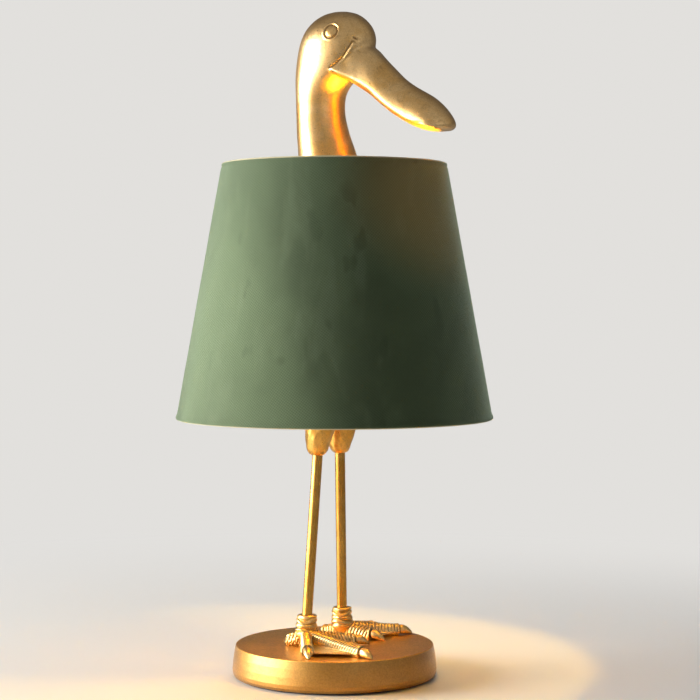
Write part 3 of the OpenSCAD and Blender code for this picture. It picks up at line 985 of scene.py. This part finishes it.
@dataclass(frozen=True)
class Toe:
    """A toe's turn about +Z in degrees, its length, its ribs' lean, its radii and its end.

    A toe that leans by nought is pebbled in place of ribbed.
    """

    heading: float
    length: float
    slant: float
    root: float = 4.7
    full: float = 5.6
    clawed: bool = True

    @property
    def end(self) -> float:
        """Length of its claw, or of its round stub."""
        return 15.0 if self.clawed else 4.0

    @property
    def stop(self) -> float:
        """Where its claw or stub starts."""
        return self.length - self.end

    def tip(self) -> list[Ring]:
        """Shapes its end.

        Returns:
            The sections of its claw or stub.
        """
        claw = ((0.02, 0.98, 0), (0.04, 0.74, 0), (0.09, 0.66, 0), (0.12, 0.80, 0),
                (0.2, 0.85, 0), (0.38, 0.83, -0.1), (0.56, 0.74, -0.6), (0.72, 0.60, -1.4),
                (0.86, 0.41, -2.4), (0.95, 0.24, -3.3), (1, 0.08, -4))
        stub = ((0.3, 0.93, 0), (0.6, 0.75, 0), (0.85, 0.45, 0), (1, 0.12, 0))
        rows, slim = (claw, 0.95) if self.clawed else (stub, 1.0)
        return [Ring(self.stop + self.end * t, drop, self.full * share, self.full * share * slim)
                for t, share, drop in rows]


@dataclass
class Foot:
    """One webbed foot with ribbed toes, smooth claws and a wrinkled ankle."""

    name: str
    node: str
    x: float
    y: float
    hip: tuple[float, float]
    toes: tuple[Toe, ...]
    hind: Toe
    plate_z: float = PLATE_TOP
    root_z: float = 13.5
    tip_z: float = 5.0
    pitch: float = 3.3
    groove: float = 1.7
    voxel: float = 0.44

    def height(self, share: Array) -> Array:
        """Height of a toe's middle over the plate, at this share of its length."""
        return self.tip_z + (self.root_z - self.tip_z) * (1 - share) ** 1.5

    def ribs(self, toe: Toe, x: Array, z: Array) -> Array:
        """Depth of the grooves between a toe's ribs, from 0 on a rib to 1.

        Args:
            toe: the toe.
            x: distance along it.
            z: height over its middle line.

        Returns:
            One depth for each point.
        """
        bead = 2 * (((x - toe.slant * z) / self.pitch) % 1.0) - 1
        dip = 1 - np.maximum(0.0, np.cos(bead * np.pi / 2)) ** 0.7
        return dip * ease(z, -3.4, -0.8) * (1 - ease(x, toe.stop - 2.2, toe.stop - 0.6))

    def paint_ribs(self, foot: Part) -> None:
        """Marks the grooves and the claws' roots for the brown ground with painted shade, and the
        ribs for paler gold with painted highlight.

        Args:
            foot: the melted foot.
        """
        carve = Sculpt(foot)
        px, py, pz = carve.points.T
        mark = np.full(len(px), 0.5)
        for toe in (*self.toes, self.hind):
            x, y = turned(px - self.x, py - self.y, -toe.heading)
            z = pz - self.plate_z - self.height(np.clip(x / toe.length, 0.0, 1.0))
            on_toe = (x > 10) & (x < toe.stop + 3) & (np.abs(y) < 6.5) & (z > -3.4) & (z < 7)
            dip = self.ribs(toe, x, z) * bool(toe.slant)
            dip = np.maximum(dip, bell(x - toe.stop - 1.0, 0.9))
            # grooves and claws' roots marked high: painted shade with the brown ground; ribs
            # marked low: painted highlight with paler wear
            mark = np.where(on_toe, 0.42 + 0.40 * dip, mark)
        carve.paint_relief(mark, mark != 0.5)

    def toe(self, toe: Toe) -> Part:
        """Models one toe along +X and lays it on the plate.

        Args:
            toe: its sizes.

        Returns:
            The toe, in place.
        """
        start = 4.0
        steps = int((toe.stop - start) / self.pitch * 9)
        rings: list[Ring] = []
        for i in range(steps + 1):
            t = i / steps
            radius = toe.root + (toe.full - toe.root) * min(1.0, t * 1.5)
            rings.append(Ring(start + (toe.stop - start) * t, 0.0, radius, radius * 1.04))
        rings += toe.tip()
        part = loft("toe", rings, 28, Heading.AHEAD)
        carve = Sculpt(part)
        x, y, z = carve.points.T
        if toe.slant:
            dip = self.ribs(toe, x, z) - 0.25 * bell(x - toe.stop + 0.4, 1.3)
        else:
            dip = (0.5 * np.sin(x * 2.3 + 1.1 * z) * np.sin(y * 2.0 - 0.7 * x)
                   + 0.2 * np.sin(z * 2.2))
        size = 1 - self.groove * dip / toe.full
        lift = self.height(np.clip(x / toe.length, 0.0, 1.0))
        sole = (z < 0) & (x < toe.stop - 1)
        reach = np.where(sole, np.maximum(1.0, (lift + 0.8) / toe.full), 1.0)
        carve.points[:, 1] = y * size * (1 + 0.10 * (z < 0))
        carve.points[:, 2] = z * size * reach + self.plate_z + lift
        carve.points[:, 0], carve.points[:, 1] = turned(x, y, toe.heading, (self.x, self.y))
        carve.done()
        return part

    def web(self, first: Toe, second: Toe) -> Part:
        """Models the skin between two toes.

        Args:
            first: one toe.
            second: the next one.

        Returns:
            The web, with its thickness.
        """
        bpy.ops.mesh.primitive_grid_add(x_subdivisions=16, y_subdivisions=14, size=2 * MM)
        part = added("web")
        carve = Sculpt(part)
        u, v = (carve.points[:, :2].T + 1) / 2
        turn = np.radians(first.heading + (second.heading - first.heading) * v)
        arch = np.sin(np.pi * np.clip(v, 0.0, 1.0))
        reach = ((first.stop - 1) * (1 - v) + (second.stop - 1) * v) * (1 - 0.09 * arch)
        far = 5 + (reach - 5) * u
        share = far / (first.length * (1 - v) + second.length * v)
        sag = 1.1 * arch * (1 - u)
        carve.points[:, 0] = self.x + far * np.cos(turn)
        carve.points[:, 1] = self.y + far * np.sin(turn)
        carve.points[:, 2] = self.plate_z + 0.30 * self.height(share) + 2.1 - sag
        carve.done()
        modify(part, "SOLIDIFY", thickness=1.35 * MM, offset=-1.0)
        return part

    def ankle(self) -> Part:
        """Models the ankle's wrinkled stem.

        Returns:
            The stem, leaning as the leg does.
        """
        lean = [(to - at) / HIP_RISE for at, to in zip((self.x, self.y), self.hip)]
        rows = ((0.3, 5.6), (4, 6.3), (8, 7.8), (11, 9.8), (12.4, 10.6), (13.6, 10.2),
                (14.3, 8.7), (15, 10.4), (16.6, 10.8), (18.2, 10.2), (18.8, 8.3), (19.5, 10.1),
                (21, 10.4), (22.5, 9.8), (23.1, 7.9), (23.8, 9.8), (25.2, 10.1), (26.6, 9.5),
                (27.2, 7.7), (27.8, 9.2), (28.9, 9.6), (30.4, 9.2), (31.2, 8), (31.4, 5.4))
        rows = [(self.x + lean[0] * z, self.plate_z + z, radius, radius, self.y + lean[1] * z)
                for z, radius in rows]
        part = loft("ankle", between(rows, 2), 40, Heading.UP)
        carve = Sculpt(part)
        x, y, z = carve.points.T
        turn = np.arctan2(y - self.y, x - self.x)
        rise = z - self.plate_z
        folded = ease(rise, 9.0, 14.0) * (1 - ease(rise, 29.6, 31.0))
        wander = np.sin(turn * 2 + 0.6 + rise * 0.25) + 0.6 * np.sin(turn * 3 - rise * 0.4)
        carve.points[:, 2] = z + 0.9 * wander * folded
        swell = 1 + 0.045 * np.sin(turn * 2 - 0.9 + rise * 0.75) * folded
        for axis, at in enumerate((self.x, self.y)):
            out = carve.points[:, axis] - at - lean[axis] * rise
            carve.points[:, axis] = at + lean[axis] * rise + out * swell
        carve.done()
        return part

    def build(self) -> Part:
        """Models the foot.

        Returns:
            The finished piece, in place.
        """
        parts = [self.ankle(), *(self.toe(toe) for toe in (*self.toes, self.hind)),
                 *(self.web(*pair) for pair in zip(self.toes, self.toes[1:]))]
        foot = fuse(parts, self.name, self.voxel, factor=0.35, rounds=1)
        with editing(foot):
            bpy.ops.mesh.bisect(plane_co=(0, 0, (self.plate_z + 0.02) * MM), plane_no=(0, 0, 1),
                                use_fill=True, clear_inner=True)
        Sculpt(foot).mark_relief(rounds=4, gain=2.0)
        self.paint_ribs(foot)
        smooth(foot, 60.0)
        # the foot's very deep brown ground deepens the painted shade in its grooves; its pale gold
        # is painted highlight on the ribs, partly wear
        foot.data.materials.append(
            GoldFinish(f"{self.name}_gold", (0.80, 0.47, 0.115), (0.13, 0.055, 0.012),
                       (0.95, 0.74, 0.36), rough=0.34, mottle=0.15, relief=True).material())
        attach(foot, "stand")
        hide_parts(self.node)
        return foot


@dataclass
class VelvetCover:
    """Velvet stretched over the lining and turned in at both rims."""

    low_z: float = SHADE_LOW
    high_z: float = SHADE_HIGH
    top_r: float = 110.0
    flare: float = 0.1807
    thick: float = 0.9
    hem: float = 12.5
    sides: int = 192

    def radius(self, z: float) -> float:
        """Outer radius of the shade at height z."""
        return self.top_r + (self.high_z - z) * self.flare

    def section(self) -> list[tuple[float, float]]:
        """Draws the cloth's section.

        Returns:
            Its middle line as (radius, height), from hem to hem.
        """
        half = self.thick / 2
        roll = ((5.9, self.hem), (5.9, 6.0), (5.8, 2.4), (4.9, 0.9), (3.6, half), (2.0, half),
                (0.9, 0.9), (half + 0.05, 2.1), (half + 0.5, 3.6))
        top, low = self.radius(self.high_z), self.radius(self.low_z)
        wall = np.linspace(self.high_z - 6.0, self.low_z + 6.0, 40)
        return ([(top - inset, self.high_z - way) for inset, way in roll]
                + [(self.radius(z) - half - 0.5, float(z)) for z in wall]
                + [(low - inset, self.low_z + way) for inset, way in reversed(roll)])

    def map_cloth(self, cover: Part) -> None:
        """Lays the cloth flat as a sector and stores that map, in metres.

        Args:
            cover: the cover's mesh in place.
        """
        mesh = cover.data
        x, y, z = read(mesh.vertices, "co", 3).T
        corners = read(mesh.loops, "vertex_index", kind=int)
        slope = math.hypot(1.0, self.flare)
        tip = (self.high_z + self.top_r / self.flare) * MM
        far = ((tip - z) * slope)[corners]
        angle = np.arctan2(y, x)[corners]
        faces = (read(mesh.polygons, field, kind=int) for field in ("loop_start", "loop_total"))
        for start, total in zip(*faces):
            piece = angle[start:start + total]
            if piece.max() - piece.min() > math.pi:
                piece[piece < 0] += 2 * math.pi
        angle *= self.flare / slope
        flat = np.stack([far * np.sin(angle), far * np.cos(angle)], 1)
        layer = mesh.uv_layers.new(name="cloth")
        layer.data.foreach_set("uv", flat.astype(np.float32).ravel())

    def build(self) -> Part:
        """Models the cover.

        Returns:
            The finished piece, in place.
        """
        rings = [Ring(0.0, z, r, r) for r, z in self.section()]
        cover = loft("velvet_cover", rings, self.sides, Heading.UP, capped=False)
        carve = Sculpt(cover)
        x, y, z = carve.points.T
        turn = np.arctan2(y, -x)
        reach = np.hypot(x, y)
        lap = bell(turn * reach, 5.0) ** 2
        ripple = 0.10 * np.sin(turn * 9 + z * 0.05) * np.sin(z * 0.031 + turn * 4)
        outside = reach > self.radius(z) - 2.0
        grow = 1 + (0.35 * lap + ripple) * outside / reach
        carve.points[:, :2] *= grow[:, None]
        carve.done()
        outward(cover)
        modify(cover, "SOLIDIFY", thickness=self.thick * MM, offset=0.0)
        self.map_cloth(cover)
        smooth(cover)
        cover.data.materials.append(VelvetFinish().material())
        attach(cover, "shade")
        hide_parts("shade_cover")
        return cover


CARRIED: dict[Finish, tuple[str, ...]] = {
    # warmer, more orange gold than the head's: painted warm light from the bulb; its side below
    # the top gets painted shade
    GoldFinish("base_gold", (0.84, 0.43, 0.068), (0.20, 0.080, 0.010), (0.95, 0.52, 0.11),
               rough=0.42, patch=30.0, mottle=0.3, painted_shade_below_z=PLATE_TOP * MM):
        ("base_casting",),
    # warmer, more orange gold than the head's: painted warm light from the bulb
    GoldFinish("leg_gold", (0.68, 0.32, 0.038), rubbed_and_highlit=(0.80, 0.43, 0.085), brushed=True,
               rough=0.28, mottle=0.3, coat=0.2):
        ("right_leg", "left_leg"),
    SteelFinish():
        ("base_cover", "cover_screws", "terminal_screws", "leg_washers", "leg_nuts",
         "neck_stud", "holder_bracket", "bracket_screws", "nipple", "nipple_nut",
         "spider_hub", "spider_arms", "top_wire", "bottom_wire"),
    BrassFinish():
        ("screw_shell", "centre_contact", "bulb_cap"),
    PlasticFinish("black_phenolic", (0.018, 0.017, 0.016), 0.32):
        ("cord_bush", "holder_cap", "holder_body", "seat_ring", "bulb_tip"),
    PlasticFinish("white_nylon", (0.80, 0.79, 0.74), 0.5): ("terminal_block",),
    PlasticFinish("core_ceramic", (0.84, 0.82, 0.76), 0.3): ("holder_core",),
    PlasticFinish("lead_sheath", (0.02, 0.02, 0.02), 0.5): ("supply_lead",),
    FeltFinish(): ("base_felt",),
    LinerFinish(): ("shade_liner",),
    GlassFinish(): ("bulb_globe", "bulb_stem"),
    GlowFinish(): ("bulb_filaments",),
}


def dress_carried() -> None:
    """Gives every carried solid its finish."""
    for finish, names in CARRIED.items():
        material = finish.material()
        for name in names:
            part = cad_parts[name]
            part.data.materials.clear()
            part.data.materials.append(material)
            part.visible_shadow = not isinstance(finish, (GlassFinish, GlowFinish))
            log.info("%s: %s", name, finish.name)


# ---- studio


@dataclass(frozen=True)
class Softbox:
    """A square lamp that faces a height on the Z axis, in metres and watts."""

    name: str
    place: Place
    size: float
    power: float
    colour: Colour = (1.0, 1.0, 1.0)
    aim_z: float = 0.35
    on_shiny: bool = True
    on_matt: bool = True

    def hang(self) -> None:
        """Hangs the lamp in the scene."""
        lamp = bpy.data.lights.new(self.name, "AREA")
        lamp.shape, lamp.size = "SQUARE", self.size
        lamp.energy, lamp.color = self.power, self.colour
        box = placed(self.name, lamp, self.place)
        aim = Vector((0.0, 0.0, self.aim_z)) - Vector(self.place)
        box.rotation_euler = aim.to_track_quat("-Z", "Y").to_euler()
        box.visible_glossy, box.visible_diffuse = self.on_shiny, self.on_matt


@dataclass
class Studio:
    """Floor, lamps, backdrop and camera."""

    camera_at: Place = (0.9411, -1.5998, 0.374)
    camera_dip: float = 1.69
    camera_turn: float = 30.0
    lens: float = 97.71
    sensor: float = 36.0
    pale: Colour = (0.80, 0.785, 0.76)
    cloud: Colour = (0.78, 0.765, 0.74)
    shown: float = 0.95
    diffuse: tuple[float, float] = (0.0, 0.10)
    glossy: tuple[float, float] = (0.46, 0.17)
    bulb_at: Place = (0.078, 0.0, 0.4285)
    bulb_colour: Colour = (1.0, 0.58, 0.03)
    bulb_power: float = 5.8
    bulb_size: float = 0.014

    def floor(self) -> None:
        """Lays the floor, which runs into the backdrop far behind."""
        bpy.ops.mesh.primitive_plane_add(size=30.0)
        floor = added("floor")
        s = Shader("pale_floor")
        s.set(Base_Color=s.blend(s.noise(1.5), self.pale, self.cloud), Roughness=0.6)
        flat = s.node("VectorMath", {0: s.place}, operation="LENGTH").outputs["Value"]
        camera = s.node("LightPath").outputs["Is Camera Ray"]
        haze = s.node("Emission", {"Color": self.pale,
                                   "Strength": s.level(camera, 0.0, 1.0, 0.3, self.shown)})
        mix = s.node("MixShader", {0: s.level(flat, 0.28, 1.1), 1: s.main.outputs[0],
                                   2: haze.outputs[0]})
        s.feed(s.nodes["Material Output"].inputs["Surface"], mix.outputs[0])
        floor.data.materials.append(s.material)

    def backdrop(self) -> None:
        """Sets a pale backdrop; it lights matt and shiny pieces less than it shows."""
        world = bpy.data.worlds.new("studio")
        world.use_nodes = True
        bpy.context.scene.world = world
        g = Graph(world.node_tree)
        turn = math.radians(self.camera_turn)
        ahead = g.node("VectorMath", {0: g.node("TexCoord").outputs["Generated"],
                                      1: (-math.sin(turn), math.cos(turn), 0.0)},
                       operation="DOT_PRODUCT")
        fade = g.level(ahead.outputs["Value"], -0.35, 0.55)
        ray = g.node("LightPath").outputs
        rest = g.between(ray["Is Diffuse Ray"], g.between(fade, *self.glossy),
                         g.between(fade, *self.diffuse))
        ground = g.nodes["Background"].inputs
        g.feed(ground["Strength"], g.between(ray["Is Camera Ray"], rest, self.shown))
        g.feed(ground["Color"], self.pale)

    def softboxes(self) -> None:
        """Hangs the square lamps."""
        warm = (1.0, 0.97, 0.92)
        for box in (
                Softbox("key", (-2.05, -1.25, 0.62), 1.6, 138.0, warm),
                Softbox("fill", (1.9, -1.3, 0.8), 1.2, 1.4, (0.97, 0.98, 1.0)),
                Softbox("low", (-0.30, -0.86, 0.03), 0.5, 1.2, warm, 0.57),
                Softbox("top", (-0.4, 0.3, 2.2), 1.6, 10.0, on_shiny=False),
                Softbox("back", (-0.6, 2.0, 0.9), 1.3, 16.0, on_shiny=False),
                Softbox("side", (-0.95, -1.40, 0.30), 0.55, 9.0, warm, 0.52, on_matt=False)):
            box.hang()

    def bulb(self) -> None:
        """Lights the bulb."""
        glow = bpy.data.lights.new("bulb_light", "POINT")
        glow.energy, glow.color = self.bulb_power, self.bulb_colour
        glow.shadow_soft_size = self.bulb_size
        placed("bulb_light", glow, self.bulb_at)

    def camera(self) -> None:
        """Sets the camera."""
        eye = bpy.data.cameras.new("camera")
        eye.lens, eye.sensor_width = self.lens, self.sensor
        held = placed("camera", eye, self.camera_at)
        held.rotation_euler = np.radians((90 - self.camera_dip, 0, self.camera_turn))
        bpy.context.scene.camera = held

    def build(self) -> None:
        """Sets the whole studio up."""
        bpy.context.scene.view_settings.view_transform = "Standard"
        self.floor()
        self.backdrop()
        self.softboxes()
        self.bulb()
        self.camera()


FEET = (
    Foot("webbed_foot_right", "right_foot", -15.8, -29.8, RIGHT_HIP,
         (Toe(-56, 69, 0.25), Toe(-17, 95, 0.5), Toe(38, 63, -0.35)),
         Toe(188, 21, 0.0, 6.2, 6.3, clawed=False)),
    Foot("webbed_foot_left", "left_foot", -8.7, 29.8, LEFT_HIP,
         (Toe(4, 47, 0.4), Toe(45, 73, 0.15), Toe(75, 57, 0.3)),
         Toe(170, 27, 0.3, full=5.0, clawed=False)),
)


def main() -> None:
    """Builds every piece in order."""
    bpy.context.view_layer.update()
    Studio().build()
    dress_carried()
    makers = [HeadAndNeck(), BodyCasting(), *FEET, VelvetCover()]
    for maker in makers:
        part = maker.build()
        log.info("%s: %d faces", part.name, len(part.data.polygons))


if __name__ == "__main__":
    main()
